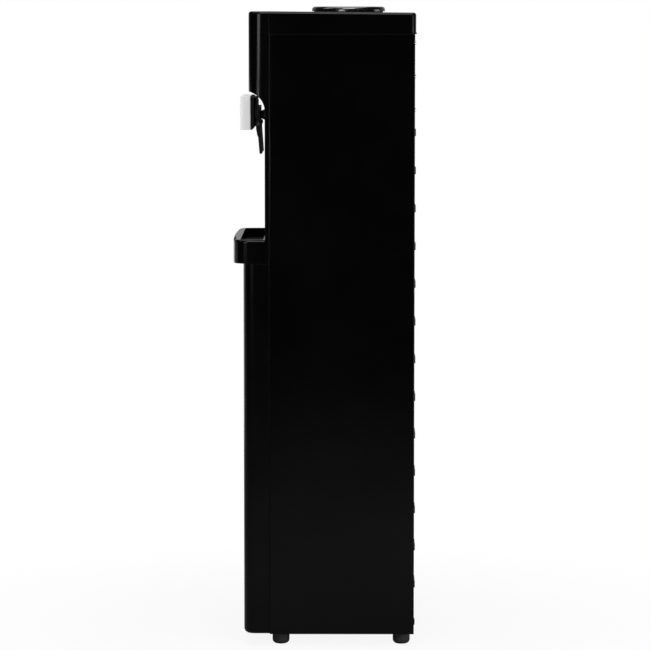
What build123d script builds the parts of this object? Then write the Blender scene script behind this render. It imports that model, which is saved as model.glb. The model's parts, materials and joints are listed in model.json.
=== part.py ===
from build123d import *
import math
import os

os.makedirs("parts", exist_ok=True)

# Cabinet, millimetres. The front faces -Y, +Z is up, and the floor under the middle is the origin.
cabinet_width = 290.0
foot_height = 19.0
panel_top = 926.0
cabinet_top = 960.0
seam_y = -82.0
rear_y = 136.5
sheet = 1.0
bend_radius = 1.4
front_flange = 9.0
rear_flange = 18.0
moulding_wall = 2.5
fit_gap = 0.3
running_gap = 0.05

# Front mouldings
hood_front_y = -115.0
hood_bow = 3.0
hood_corner = 18.0
hood_low = 840.5
cove_depth = 25.0
cove_drop = 26.0
cove_sag = 5.8
crown_edge = 4.0
recess_y = -88.5
niche_half_width = 120.0
niche_sag = 14.0
niche_floor = 622.0
niche_top = 828.5
niche_round = 10.0
panel_front_y = -123.5
panel_bow = 3.0
panel_corner = 16.0
panel_toe = 7.5

# Top cover and bottle collar
top_fall = 2.0
cover_overhang = 1.5
cover_corner = 7.0
cover_lip = 0.8
cover_lip_height = 2.5
collar_y = 37.0
collar_radius = 56.0
collar_height = 7.2
collar_seat_height = 10.0
collar_seat_radius = 53.0
collar_spigot = 3.0
collar_round = 4.6
collar_hole_radius = 49.0
throat_radius = 29.0
throat_mouth_radius = 46.0
throat_wall = 2.5
throat_cone_drop = 36.0
throat_bottom = 893.0
throat_ledge = 3.0
probe_radius = 6.0
probe_bore = 3.5
probe_top = 936.0
probe_disc = 3.0
probe_holes = 6
probe_hole_radius = 4.0
probe_hole_ring = 17.0
probe_tip_radius = 1.5
probe_tip = 8.0
probe_side_hole_drop = 12.0
probe_side_hole_radius = 1.75

# Drip tray and grille
tray_bottom = 582.0
tray_top = 618.2
tray_front_y = -138.8
tray_bow = 4.0
tray_corner = 22.0
tray_half_width = 142.0
tray_toe = 1.6
tray_wall = 6.0
tray_rear_wall = 2.2
tray_front_rim = 13.0
tray_mouth_corner = 6.0
tray_floor = 3.0
tray_rim_round = 4.0
grille_ledge = 2.0
grille_depth = 18.0
grille_thick = 2.4
grille_frame = 5.0
slot_width = 4.2
slot_pitch = 8.4

# Taps
tap_spacing = 80.0
tap_z = 802.5
tap_cover_front = -127.7
tap_cover_back = -112.3
tap_cover_low = 780.2
tap_cover_high = 831.3
tap_cover_width = 34.0
tap_cover_wall = 2.6
tap_cover_round = 3.5
tap_plate_back = -106.8
tap_plate_round = 4.0
valve_back = -98.0
valve_low = 785.5
valve_high = 815.5
valve_width = 24.0
valve_neck_width = 16.0
valve_neck_high = 798.5
spout_radius = 4.4
spout_bore = 3.0
spout_y = -119.8
stem_neck_radius = 4.4
stem_flare_radius = 12.5
stem_radius = 6.0
stem_end = -60.0
tap_seat_y = -78.5
tap_seat_back = -70.5
tap_seat_radius = 14.0
nut_across_flats = 19.0
nut_thick = 7.0
button_width = 14.0
button_depth = 4.4
button_high = 829.5
button_sink = 1.0
button_travel = 4.0
button_groove = 1.2
button_groove_drop = 4.5
tap_plate_chamfer = 3.0
spout_lip = 2.0
stem_flange = 1.0
pivot_y = -100.5
pivot_z = 789.5
lever_ear_radius = 5.0
lever_ear = 3.0
lever_bridge = 7.0
lever_step_z = 771.0
lever_step = 1.2
lever_taper = 2.0
lever_tip_z = 743.5
lever_tip_thick = 4.4
lever_tip_round = 2.0
lever_top_depth = 7.0
lever_lean = 2.8
pin_radius = 1.5
pin_head_radius = 2.6
pin_head = 0.9

# Base, feet and shelves
base_sheet = 1.5
base_upstand = 14.0
apron_y = 106.0
apron_height = 60.0
foot_radius = 13.0
foot_round = 6.5
foot_stud_radius = 4.0
foot_stud = 8.0
foot_x = 115.0
foot_front_y = -65.5
foot_rear_y = 118.0
shelf_flange = 12.0
shelf_rear_y = 124.0
upper_shelf_z = 748.0
upper_shelf_front_y = -36.0
lower_shelf_front_y = -60.0
pass_gap = 1.2
shelf_sheet = 1.5

# Rear panel, switches and outlets
rear_panel_low = 800.0
bezel_x = -55.0
bezel_z = 872.0
bezel_width = 46.0
bezel_height = 32.0
bezel_flange = 0.8
bezel_border = 3.0
bezel_depth = 14.0
bezel_round = 2.0
rocker_spacing = 19.0
rocker_width = 13.0
rocker_height = 20.0
rocker_root = 12.0
rocker_depth = 5.0
rocker_rise = 3.0
rocker_dish = 1.2
rocker_gap = 0.4
rocker_tilt = 8.0
rocker_axle_radius = 1.5
rocker_axle_reach = 1.5
rocker_pivot_y = 132.6
gland_x = 70.0
outlet_z = 45.0
gland_flange_radius = 9.0
gland_radius = 6.5
gland_bore = 4.0
gland_flange = 3.0
gland_tail = 4.0
outlet_x = -20.0
outlet_radius = 7.0
outlet_bore = 4.0
outlet_flange_radius = 11.0
outlet_flange = 2.5
outlet_end = 134.0
outlet_tail = 1.0
cap_radius = 10.0
cap_length = 16.0
cap_wall = 2.5
cap_flutes = 10
cap_flute_radius = 1.4
screw_radius = 3.2
screw_head = 1.5
screw_inset = 9.0
screw_rows = 3
screw_pitch = 50.0

# Condenser
pass_count = 13
pass_pitch = 57.0
first_pass_z = 95.0
condenser_radius = 2.4
condenser_bend = 24.0
bend_inset = 24.0
condenser_end_inset = 40.0
condenser_end_y = 112.0
condenser_end_bend = 12.0
wire_radius = 0.8
wire_count = 18
wire_inset = 63.4
wire_overhang = 8.0
weld_gap = 0.1
clamp_height = 10.0
clamp_thick = 1.5
clamp_inset = 5.0
clamp_width = 50.0

# Tanks and their fittings, on the axis of the bottle collar
cold_tank_radius = 66.0
cold_tank_height = 135.0
tank_wall = 1.2
evaporator_thick = 4.7
evaporator_low = 22.0
evaporator_height = 70.0
insulation_wall = 12.5
insulation_floor = 18.0
tank_lid = 4.0
tank_lid_overhang = 5.0
tank_lid_gap = 0.7
hot_tank_radius = 55.0
hot_tank_height = 139.0
hot_top = 700.5
hot_tank_round = 12.0
band_thick = 4.0
band_low = 40.0
band_height = 50.0
band_lug = 12.0
band_lug_width = 14.0
band_lug_height = 25.0
thermostat_radius = 9.0
thermostat_thick = 8.0
thermostat_drop = 30.5
port_radius = 4.5
port_bore = 3.0
port_drop = 7.5
port_rise = 12.0
hose_radius = 4.5
hose_bend = 12.4
port_y = 10.0
feed_y = 87.0
feed_rear_y = 112.0
feed_inlet_rise = 28.5
feed_stub = 4.0
hose_drop_y = -47.0
cold_hose_z = 724.0
hot_hose_z = 732.0
feed_hose_z = 722.0
drain_y = 75.0
drain_low_y = 92.0
drain_jog_high = 300.0
drain_jog_low = 270.0
drain_bend = 10.0

# Compressor and pipes
compressor_radius = 52.0
compressor_height = 154.0
compressor_round = 22.0
compressor_base_round = 10.0
compressor_bead = 1.5
compressor_bead_height = 6.0
foot_plate = 2.5
foot_plate_size = 112.0
foot_plate_round = 14.0
mount_radius = 8.0
mount_height = 13.5
mount_spread = 45.0
relay_width = 40.0
relay_depth = 22.0
relay_height = 50.0
relay_low = 70.0
relay_round = 4.0
stub_radius = 4.0
stub_reach = 6.0
suction_radius = 2.0
suction_port_z = 110.0
discharge_radius = 2.4
discharge_port_z = 130.0
discharge_drop_y = 90.0
pipe_bend = 10.0
capillary_radius = 1.2
capillary_angle = 20.0
capillary_run_z = 730.0
drier_radius = 9.0
drier_length = 72.0
drier_taper = 10.0

# Indicator lenses
lens_count = 3
lens_pitch = 14.0
lens_radius = 2.5
lens_z = 900.0
lens_proud = 0.5
lens_length = 5.0

half = cabinet_width / 2
inner_half = half - sheet
hot_bottom = hot_top - hot_tank_height
lower_shelf_z = hot_bottom - shelf_sheet
tap_xs = {"cold": tap_spacing / 2, "hot": -tap_spacing / 2}


def save(piece, name):
    piece.part.label = name
    export_step(piece.part, f"parts/{name}.step")


# Steel side panels: a skin with a narrow front flange and a wide rear flange
def side_panel(side, name):
    depth = rear_y - seam_y
    with BuildPart() as panel:
        with BuildSketch(Plane.XY.offset(foot_height)):
            with Locations((side * (half - sheet / 2), (seam_y + rear_y) / 2)):
                Rectangle(sheet, depth)
            with Locations((side * (half - front_flange / 2), seam_y + sheet / 2)):
                Rectangle(front_flange, sheet)
            with Locations((side * (half - rear_flange / 2), rear_y - sheet / 2)):
                Rectangle(rear_flange, sheet)
        extrude(amount=panel_top - foot_height)
        outer = panel.edges().filter_by(Axis.Z).sort_by(Axis.X)
        corners = outer[-2:] if side > 0 else outer[:2]
        fillet(corners, radius=bend_radius)
    save(panel, name)


side_panel(1, "right_side_panel")
side_panel(-1, "left_side_panel")


# Plan outline shared by the front mouldings: straight back and flanks, bowed front, round corners
def front_outline(height, front_y, bow, corner, inset=0.0):
    x = half - inset
    y_corner = front_y + bow + inset
    with BuildSketch(Plane.XY.offset(height)) as outline:
        with BuildLine():
            ThreePointArc((-x, y_corner), (0, front_y + inset), (x, y_corner))
            Polyline((x, y_corner), (x, seam_y), (-x, seam_y), (-x, y_corner))
        face = make_face()
        fillet(face.vertices().sort_by(Axis.Y)[:2], radius=corner - inset)
    return outline.sketch


# The open cup bay under the hood, grown by a skin where it bounds the hollow behind
def bay_form(skin):
    top = hood_low + skin
    back = recess_y + skin
    front = hood_front_y - cove_depth
    chord = math.hypot(cove_depth, cove_drop)
    cove_radius = (chord**2 / 4 + cove_sag**2) / (2 * cove_sag)
    lean = Vector(cove_drop, cove_depth) / chord
    chord_middle = Vector(recess_y - cove_depth / 2, hood_low - cove_drop / 2)
    centre = chord_middle - lean * (cove_radius - cove_sag)
    reach = cove_radius + skin
    cove_start = (centre.X + math.sqrt(reach**2 - (top - centre.Y) ** 2), top)
    cove_end = (back, centre.Y + math.sqrt(reach**2 - (back - centre.X) ** 2))
    with BuildPart() as bay:
        with BuildSketch(Plane.YZ):
            with BuildLine():
                Polyline(cove_start, (front, top), (front, tray_bottom), (back, tray_bottom), cove_end)
                ThreePointArc(cove_end, centre + lean * reach, cove_start)
            make_face()
        extrude(amount=cabinet_width, both=True)
    return bay.part


# The shallow round niche behind the taps, part of a wide drum with rounded rims
def niche_form(skin):
    drum_radius = (niche_half_width**2 + niche_sag**2) / (2 * niche_sag)
    axis_y = recess_y + niche_sag - drum_radius
    rim_depth = 4 * niche_sag
    with BuildPart() as niche:
        with BuildSketch(Plane.YZ):
            with Locations((recess_y + niche_sag + skin - rim_depth / 2, (niche_floor + niche_top) / 2)):
                RectangleRounded(rim_depth, niche_top - niche_floor + 2 * skin, niche_round + skin)
        revolve(axis=Axis((0, axis_y, 0), (0, 0, 1)))
    return niche.part


# Upper front fascia: hood, cove, niche and tap seats in one thin moulding, open at its back
niche_void = niche_form(0)
niche_skin = niche_form(moulding_wall)
with BuildPart() as niche_back:
    add(niche_skin)
    with BuildSketch(Plane.XY.offset(tray_bottom)):
        with Locations((0, seam_y + niche_sag / 2)):
            Rectangle(cabinet_width, niche_sag + 2 * moulding_wall)
    extrude(amount=cabinet_top - tray_bottom, mode=Mode.INTERSECT)

with BuildPart() as fascia_hollow:
    hollow_low = tray_bottom + moulding_wall
    hollow_plan = front_outline(hollow_low, hood_front_y, hood_bow, hood_corner, moulding_wall)
    extrude(hollow_plan, amount=cabinet_top - tray_bottom - 2 * moulding_wall)
    add(bay_form(moulding_wall), mode=Mode.SUBTRACT)
    add(niche_skin, mode=Mode.SUBTRACT)

with BuildPart() as fascia:
    extrude(front_outline(tray_bottom, hood_front_y, hood_bow, hood_corner), amount=cabinet_top - tray_bottom)
    crown = fascia.edges().group_by(Axis.Z)[-1].sort_by(Axis.Y)[:-1]
    fillet(crown, radius=crown_edge)
    add(bay_form(0), mode=Mode.SUBTRACT)
    add(fascia_hollow.part, mode=Mode.SUBTRACT)
    add(niche_back.part)
    add(niche_void, mode=Mode.SUBTRACT)
    seat_centres = [(x, tap_z) for x in tap_xs.values()]
    with BuildSketch(Plane.XZ.offset(-tap_seat_back)):
        with Locations(*seat_centres):
            Circle(tap_seat_radius)
    extrude(amount=tap_seat_back - tap_seat_y)
    with BuildSketch(Plane.XZ.offset(-tap_seat_back)):
        with Locations(*seat_centres):
            Circle(stem_radius + running_gap)
    extrude(amount=tap_seat_back - tap_seat_y, mode=Mode.SUBTRACT)
    with BuildSketch(Plane.XZ.offset(-hood_front_y)):
        with GridLocations(lens_pitch, 1, lens_count, 1):
            with Locations((0, lens_z)):
                Circle(lens_radius + running_gap)
    extrude(amount=-2 * moulding_wall, mode=Mode.SUBTRACT)
save(fascia, "upper_front_fascia")

# Indicator lenses, a row of small pegs through the hood
with BuildPart() as lenses:
    with BuildSketch(Plane.XZ.offset(-hood_front_y + lens_proud)):
        with GridLocations(lens_pitch, 1, lens_count, 1):
            with Locations((0, lens_z)):
                Circle(lens_radius)
    extrude(amount=-lens_length)
save(lenses, "indicator_lenses")

# Lower front panel: the same plan form with a rounded toe, hollow from behind
def rounded_toe(height, inset):
    with BuildPart() as form:
        low = foot_height + inset
        extrude(front_outline(low, panel_front_y, panel_bow, panel_corner, inset), amount=height)
        toe = form.edges().group_by(Axis.Z)[0].sort_by(Axis.Y)[:-1]
        fillet(toe, radius=panel_toe - inset)
    return form.part


with BuildPart() as lower_panel:
    panel_height = tray_bottom - foot_height
    add(rounded_toe(panel_height, 0))
    add(rounded_toe(panel_height - 2 * moulding_wall, moulding_wall), mode=Mode.SUBTRACT)
save(lower_panel, "lower_front_panel")

# Top cover: falls a little to the rear, with a level seat for the collar and a lip at the rear edge
cover_rear = rear_y + cover_overhang
with BuildPart() as cover:
    with BuildSketch(Plane.YZ):
        rear_top = cabinet_top - top_fall
        with BuildLine():
            Polyline(
                (seam_y, panel_top),
                (cover_rear, panel_top),
                (cover_rear, rear_top),
                (seam_y, cabinet_top),
                close=True,
            )
        make_face()
    extrude(amount=half, both=True)
    fillet(cover.edges().filter_by(Axis.Z).group_by(Axis.Y)[-1], radius=cover_corner)
    crown = cover.faces().sort_by(Axis.Z)[-1].edges().sort_by(Axis.Y)[1:]
    fillet(crown, radius=crown_edge)
    with BuildSketch(Plane.XY.offset(panel_top)):
        with Locations((0, (seam_y + cover_rear) / 2)):
            inner_width = cabinet_width - 2 * moulding_wall
            inner_depth = cover_rear - seam_y - 2 * moulding_wall
            RectangleRounded(inner_width, inner_depth, cover_corner - moulding_wall)
    extrude(amount=cabinet_top - top_fall - panel_top - moulding_wall, mode=Mode.SUBTRACT)
    with BuildSketch(Plane.XY.offset(panel_top)):
        with Locations((0, cover_rear)):
            Rectangle(cabinet_width - 2 * cover_corner, 2 * cover_lip)
    extrude(amount=cover_lip_height)
    with BuildSketch(Plane.XY.offset(cabinet_top - collar_seat_height)):
        with Locations((0, collar_y)):
            Circle(collar_seat_radius)
    extrude(amount=collar_seat_height)
    with BuildSketch(Plane.XY.offset(panel_top)):
        with Locations((0, collar_y)):
            Circle(collar_hole_radius)
    extrude(amount=cabinet_top - panel_top, mode=Mode.SUBTRACT)
save(cover, "top_cover")

# Bottle collar: a round seat with a funnel throat that reaches into the cold tank
collar_axis = Axis((0, collar_y, 0), (0, 0, 1))
collar_plane = Plane(origin=(0, collar_y, 0), x_dir=(1, 0, 0), z_dir=(0, -1, 0))
collar_top = cabinet_top + collar_height
throat_outer = throat_radius + throat_wall
cone_low = collar_top - throat_cone_drop
probe_seat = throat_bottom + throat_ledge
with BuildPart() as collar:
    with BuildSketch(collar_plane):
        spigot = collar_hole_radius - fit_gap
        with BuildLine():
            Polyline(
                (throat_mouth_radius, collar_top),
                (throat_radius, cone_low),
                (throat_radius, probe_seat),
                (throat_radius - throat_ledge, probe_seat),
                (throat_radius - throat_ledge, throat_bottom),
                (throat_outer, throat_bottom),
                (throat_outer, cone_low - throat_wall),
                (spigot, cabinet_top - collar_spigot),
                (spigot, cabinet_top),
                (collar_radius, cabinet_top),
                (collar_radius, collar_top),
                close=True,
            )
        face = make_face()
        fillet(face.vertices().group_by(Axis.Y)[-1], radius=collar_round)
    revolve(axis=collar_axis)
save(collar, "bottle_collar")

# Water probe: a pierced disc on the throat ledge with a hollow spike
with BuildPart() as probe:
    with BuildSketch(collar_plane):
        disc_top = probe_seat + probe_disc
        with BuildLine():
            Polyline(
                (probe_bore, probe_seat),
                (throat_radius - fit_gap, probe_seat),
                (throat_radius - fit_gap, disc_top),
                (probe_radius, disc_top),
                (probe_radius, probe_top - probe_tip),
                (probe_tip_radius, probe_top),
                (0, probe_top),
                (0, probe_top - probe_tip),
                (probe_bore, probe_top - probe_tip),
                close=True,
            )
        make_face()
    revolve(axis=collar_axis)
    with BuildSketch(Plane.XY.offset(probe_seat)):
        with Locations((0, collar_y)):
            with PolarLocations(probe_hole_ring, probe_holes):
                Circle(probe_hole_radius)
    extrude(amount=probe_disc, mode=Mode.SUBTRACT)
    with BuildSketch(Plane.XZ):
        with Locations((0, probe_top - probe_side_hole_drop)):
            Circle(probe_side_hole_radius)
    extrude(amount=cabinet_width, both=True, mode=Mode.SUBTRACT)
save(probe, "water_probe")

# Drip tray: a bowed basin that rests on the lower panel, with an inner ledge for the grille
tray_rear_y = recess_y - fit_gap
tray_seat = tray_bottom + fit_gap


tray_mouth_front = tray_front_y + tray_front_rim
tray_mouth_rear = tray_rear_y - tray_rear_wall
tray_mouth_width = 2 * (tray_half_width - tray_wall)
tray_mouth_depth = tray_mouth_rear - tray_mouth_front
tray_mouth_y = (tray_mouth_front + tray_mouth_rear) / 2


def tray_mouth(height, inset):
    with BuildSketch(Plane.XY.offset(height)) as mouth:
        with Locations((0, tray_mouth_y)):
            corner = tray_mouth_corner - inset
            RectangleRounded(tray_mouth_width - 2 * inset, tray_mouth_depth - 2 * inset, corner)
    return mouth.sketch


grille_seat = tray_top - grille_depth
with BuildPart() as tray:
    with BuildSketch(Plane.XY.offset(tray_seat)):
        with BuildLine():
            x = tray_half_width
            tray_corner_y = tray_front_y + tray_bow
            ThreePointArc((-x, tray_corner_y), (0, tray_front_y), (x, tray_corner_y))
            Polyline((x, tray_corner_y), (x, tray_rear_y), (-x, tray_rear_y), (-x, tray_corner_y))
        face = make_face()
        fillet(face.vertices().sort_by(Axis.Y)[:2], radius=tray_corner)
    extrude(amount=tray_top - tray_seat)
    toe = tray.edges().group_by(Axis.Z)[0].sort_by(Axis.Y)[:-1]
    fillet(toe, radius=tray_toe)
    rim = tray.edges().group_by(Axis.Z)[-1].sort_by(Axis.Y)[:-1]
    fillet(rim, radius=tray_rim_round)
    extrude(tray_mouth(grille_seat, 0), amount=grille_depth, mode=Mode.SUBTRACT)
    basin_floor = tray_seat + tray_floor
    extrude(tray_mouth(basin_floor, grille_ledge), amount=grille_seat - basin_floor, mode=Mode.SUBTRACT)
save(tray, "drip_tray")

# Drip grille: a slotted plate lying on the tray's ledge
with BuildPart() as grille:
    grille_low = grille_seat + fit_gap
    extrude(tray_mouth(grille_low, fit_gap), amount=grille_thick)
    frame_inset = fit_gap + grille_frame
    slot_count = int((tray_mouth_width - 2 * frame_inset) / slot_pitch)
    with BuildSketch(Plane.XY.offset(grille_low)):
        with Locations((0, tray_mouth_y)):
            with GridLocations(slot_pitch, 1, slot_count, 1):
                Rectangle(slot_width, tray_mouth_depth - 2 * frame_inset)
    extrude(amount=grille_thick, mode=Mode.SUBTRACT)
save(grille, "drip_grille")

# Base plate: a pan with low side walls and a set-back apron for the cord gland and the drain
base_top = foot_height + base_sheet
base_front_y = seam_y + sheet
base_rear_y = rear_y - sheet
feet_places = [(x, y) for x in (-foot_x, foot_x) for y in (foot_front_y, foot_rear_y)]
with BuildPart() as base:
    base_depth = base_rear_y - base_front_y
    with BuildSketch(Plane.XY.offset(foot_height)):
        with Locations((0, (base_front_y + base_rear_y) / 2)):
            Rectangle(2 * inner_half, base_depth)
    extrude(amount=base_sheet)
    with BuildSketch(Plane.XY.offset(base_top)):
        with Locations((0, (base_front_y + base_rear_y) / 2)):
            with GridLocations(2 * inner_half - base_sheet, 1, 2, 1):
                Rectangle(base_sheet, base_depth)
    extrude(amount=base_upstand)
    with BuildSketch(Plane.XY.offset(base_top)):
        with Locations((0, apron_y + base_sheet / 2)):
            Rectangle(2 * inner_half, base_sheet)
    extrude(amount=apron_height)
    with BuildSketch(Plane.XY.offset(foot_height)):
        with Locations(*feet_places):
            Circle(foot_stud_radius + running_gap)
    extrude(amount=base_sheet, mode=Mode.SUBTRACT)
    with BuildSketch(Plane.XZ.offset(-apron_y)):
        with Locations((gland_x, outlet_z)):
            Circle(gland_radius + running_gap)
        with Locations((outlet_x, outlet_z)):
            Circle(outlet_radius + running_gap)
    extrude(amount=-base_sheet, mode=Mode.SUBTRACT)
save(base, "base_plate")

# Feet: four round pads with studs
with BuildPart() as feet:
    with BuildSketch():
        with Locations(*feet_places):
            Circle(foot_radius)
    extrude(amount=foot_height)
    fillet(feet.edges().group_by(Axis.Z)[0], radius=foot_round)
    with BuildSketch(Plane.XY.offset(foot_height)):
        with Locations(*feet_places):
            Circle(foot_stud_radius)
    extrude(amount=foot_stud)
save(feet, "feet")

# Taps: cover, body with spout and stem, nut, button, lever and its pin, alike for cold and hot
tap_height = tap_cover_high - tap_cover_low
tap_middle_z = (tap_cover_high + tap_cover_low) / 2
button_front = tap_plate_back + fit_gap
button_back = button_front + button_depth
pocket_low = valve_high - button_sink - button_travel - fit_gap
lever_ear_inner = valve_neck_width / 2 + fit_gap
lever_half = lever_ear_inner + lever_ear
lever_bridge_z = pivot_z - lever_bridge


def tap_cover(name, x):
    with BuildPart() as shell:
        with BuildSketch(Plane.XY.offset(tap_cover_low)):
            with Locations((x, (tap_cover_front + tap_cover_back) / 2)):
                face = Rectangle(tap_cover_width, tap_cover_back - tap_cover_front)
            fillet(face.vertices().group_by(Axis.Y)[0], radius=tap_cover_round)
        extrude(amount=tap_height)
        top = shell.edges().group_by(Axis.Z)[-1].sort_by(Axis.Y)[:-1]
        fillet(top, radius=tap_cover_wall / 2)
        with BuildSketch(Plane.XY.offset(tap_cover_low)):
            with Locations((x, (tap_cover_front + tap_cover_wall + tap_cover_back) / 2)):
                inner_depth = tap_cover_back - tap_cover_front - tap_cover_wall
                Rectangle(tap_cover_width - 2 * tap_cover_wall, inner_depth)
        extrude(amount=tap_height - tap_cover_wall, mode=Mode.SUBTRACT)
    save(shell, f"{name}_tap_cover")


def tap_body(name, x):
    with BuildPart() as body:
        with BuildSketch(Plane.XZ.offset(-tap_plate_back)):
            with Locations((x, tap_middle_z)):
                Rectangle(tap_cover_width, tap_height)
        extrude(amount=tap_plate_back - tap_cover_back)
        rear_edges = body.faces().sort_by(Axis.Y)[-1].edges().sort_by(Axis.Z)
        fillet(rear_edges[-1], radius=tap_plate_round)
        chamfer(rear_edges[0], length=tap_plate_chamfer)
        with BuildSketch(Plane.XZ.offset(-valve_back)):
            with Locations((x, (valve_neck_high + valve_high) / 2)):
                Rectangle(valve_width, valve_high - valve_neck_high)
            with Locations((x, (valve_low + valve_neck_high) / 2)):
                Rectangle(valve_neck_width, valve_neck_high - valve_low)
        extrude(amount=valve_back - tap_plate_back)
        with BuildSketch(Plane.XY.offset(tap_cover_low + spout_lip)):
            with Locations((x, spout_y)):
                Circle(spout_radius)
        extrude(amount=tap_z + spout_radius - tap_cover_low - spout_lip)
        with BuildSketch(Plane.XZ.offset(-tap_cover_back)):
            with Locations((x, tap_z)):
                Circle(spout_radius)
        extrude(amount=tap_cover_back - spout_y)
        with BuildSketch(Plane(origin=(x, 0, tap_z), x_dir=(1, 0, 0), z_dir=(0, 0, 1))):
            with BuildLine():
                Polyline(
                    (0, valve_back),
                    (stem_neck_radius, valve_back),
                    (stem_flare_radius, tap_seat_y - stem_flange),
                    (stem_flare_radius, tap_seat_y),
                    (stem_radius, tap_seat_y),
                    (stem_radius, stem_end),
                    (0, stem_end),
                    close=True,
                )
            make_face()
        revolve(axis=Axis((x, 0, tap_z), (0, 1, 0)))
        with BuildSketch(Plane.XZ.offset(-stem_end)):
            with Locations((x, tap_z)):
                Circle(spout_bore)
        extrude(amount=stem_end - spout_y, mode=Mode.SUBTRACT)
        with BuildSketch(Plane.XY.offset(tap_cover_low + spout_lip)):
            with Locations((x, spout_y)):
                Circle(spout_bore)
        extrude(amount=tap_z - tap_cover_low - spout_lip, mode=Mode.SUBTRACT)
        with BuildSketch(Plane.XY.offset(pocket_low)):
            with Locations((x, (tap_plate_back + button_back + fit_gap) / 2)):
                Rectangle(button_width + 2 * fit_gap, button_back + fit_gap - tap_plate_back)
        extrude(amount=valve_high - pocket_low, mode=Mode.SUBTRACT)
        with BuildSketch(Plane.YZ.offset(x)):
            with Locations((pivot_y, pivot_z)):
                Circle(pin_radius + running_gap)
        extrude(amount=valve_neck_width, both=True, mode=Mode.SUBTRACT)
    save(body, f"{name}_tap_body")


def tap_button(name, x, low):
    with BuildPart() as button:
        with BuildSketch(Plane.XY.offset(low)):
            with Locations((x, (button_front + button_back) / 2)):
                Rectangle(button_width, button_depth)
        extrude(amount=button_high - low)
        with BuildSketch(Plane.XY.offset(button_high - button_groove_drop)):
            with Locations((x, button_back)):
                Rectangle(button_width, 2 * button_groove)
        extrude(amount=button_groove, mode=Mode.SUBTRACT)
    save(button, name)


def tap_lever(name, x):
    top_front = pivot_y - lever_top_depth / 2
    top_back = pivot_y + lever_top_depth / 2
    tip_back = top_back + lever_lean
    step_front = top_front + lever_taper
    with BuildPart() as lever:
        with BuildSketch(Plane.YZ.offset(x)):
            with BuildLine():
                Polyline(
                    (top_front, lever_bridge_z),
                    (step_front, lever_step_z),
                    (step_front + lever_step, lever_step_z - lever_step),
                    (tip_back - lever_tip_thick, lever_tip_z),
                    (tip_back, lever_tip_z),
                    (top_back, lever_bridge_z),
                    close=True,
                )
            face = make_face()
            fillet(face.vertices().group_by(Axis.Y)[0], radius=lever_tip_round)
        extrude(amount=lever_half, both=True)
        for side in (-1, 1):
            with BuildSketch(Plane.YZ.offset(x + side * lever_ear_inner)):
                with Locations((pivot_y, pivot_z)):
                    Circle(lever_ear_radius)
                with Locations((pivot_y, (pivot_z + lever_bridge_z) / 2)):
                    Rectangle(lever_top_depth, lever_bridge)
                with Locations((pivot_y, pivot_z)):
                    Circle(pin_radius + running_gap, mode=Mode.SUBTRACT)
            extrude(amount=side * lever_ear)
    save(lever, f"{name}_tap_lever")


def lever_pin(name, x):
    with BuildPart() as pin:
        with BuildSketch(Plane.YZ.offset(x)):
            with Locations((pivot_y, pivot_z)):
                Circle(pin_radius)
        extrude(amount=lever_half + fit_gap, both=True)
        for side in (-1, 1):
            with BuildSketch(Plane.YZ.offset(x + side * (lever_half + fit_gap))):
                with Locations((pivot_y, pivot_z)):
                    Circle(pin_head_radius)
            extrude(amount=side * pin_head)
    save(pin, f"{name}_lever_pin")


def tap_nut(name, x):
    with BuildPart() as nut:
        with BuildSketch(Plane.XZ.offset(-tap_seat_back)):
            with Locations((x, tap_z)):
                RegularPolygon(nut_across_flats / 2, 6, major_radius=False)
                Circle(stem_radius + running_gap, mode=Mode.SUBTRACT)
        extrude(amount=-nut_thick)
    save(nut, f"{name}_tap_nut")


for tap_name, tap_x in tap_xs.items():
    tap_cover(tap_name, tap_x)
    tap_body(tap_name, tap_x)
    tap_lever(tap_name, tap_x)
    lever_pin(tap_name, tap_x)
    tap_nut(tap_name, tap_x)
tap_button("cold_tap_button", tap_xs["cold"], pocket_low)
tap_button("hot_child_lock", tap_xs["hot"], valve_high - button_sink)

# Rear panel, closing the upper back between the flanges
panel_face_y = rear_y - sheet
bezel_body_width = bezel_width - 2 * bezel_border
bezel_body_height = bezel_height - 2 * bezel_border
with BuildPart() as rear_panel:
    with BuildSketch(Plane.XZ.offset(-panel_face_y)):
        with Locations((0, (rear_panel_low + panel_top) / 2)):
            Rectangle(2 * (inner_half - fit_gap), panel_top - rear_panel_low)
        with Locations((bezel_x, bezel_z)):
            Rectangle(bezel_body_width + fit_gap, bezel_body_height + fit_gap, mode=Mode.SUBTRACT)
    extrude(amount=sheet)
save(rear_panel, "rear_panel")

# Switch bezel with two pockets and the axle holes of its rockers
rocker_xs = {"cold": bezel_x + rocker_spacing / 2, "hot": bezel_x - rocker_spacing / 2}
rocker_sweep = math.hypot(rocker_rise, rocker_height / 2) + rocker_gap
root_sweep = math.hypot(rocker_depth, rocker_root / 2) + rocker_gap
axle_half = rocker_width / 2 + rocker_axle_reach
with BuildPart() as bezel:
    with BuildSketch(Plane.XZ.offset(-panel_face_y)):
        with Locations((bezel_x, bezel_z)):
            RectangleRounded(bezel_width, bezel_height, bezel_round)
    extrude(amount=-bezel_flange)
    with BuildSketch(Plane.XZ.offset(-panel_face_y)):
        with Locations((bezel_x, bezel_z)):
            Rectangle(bezel_body_width, bezel_body_height)
    extrude(amount=bezel_depth)
    pocket_floor_y = rocker_pivot_y - root_sweep
    with BuildSketch(Plane.XZ.offset(-pocket_floor_y)):
        with Locations((bezel_x, bezel_z)):
            with GridLocations(rocker_spacing, 1, 2, 1):
                Rectangle(rocker_width + 2 * rocker_gap, 2 * rocker_sweep)
    extrude(amount=pocket_floor_y - panel_face_y - bezel_flange, mode=Mode.SUBTRACT)
    for rocker_x in rocker_xs.values():
        with BuildSketch(Plane.YZ.offset(rocker_x)):
            with Locations((rocker_pivot_y, bezel_z)):
                Circle(rocker_axle_radius + running_gap)
        extrude(amount=axle_half + fit_gap, both=True, mode=Mode.SUBTRACT)
save(bezel, "switch_bezel")


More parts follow.
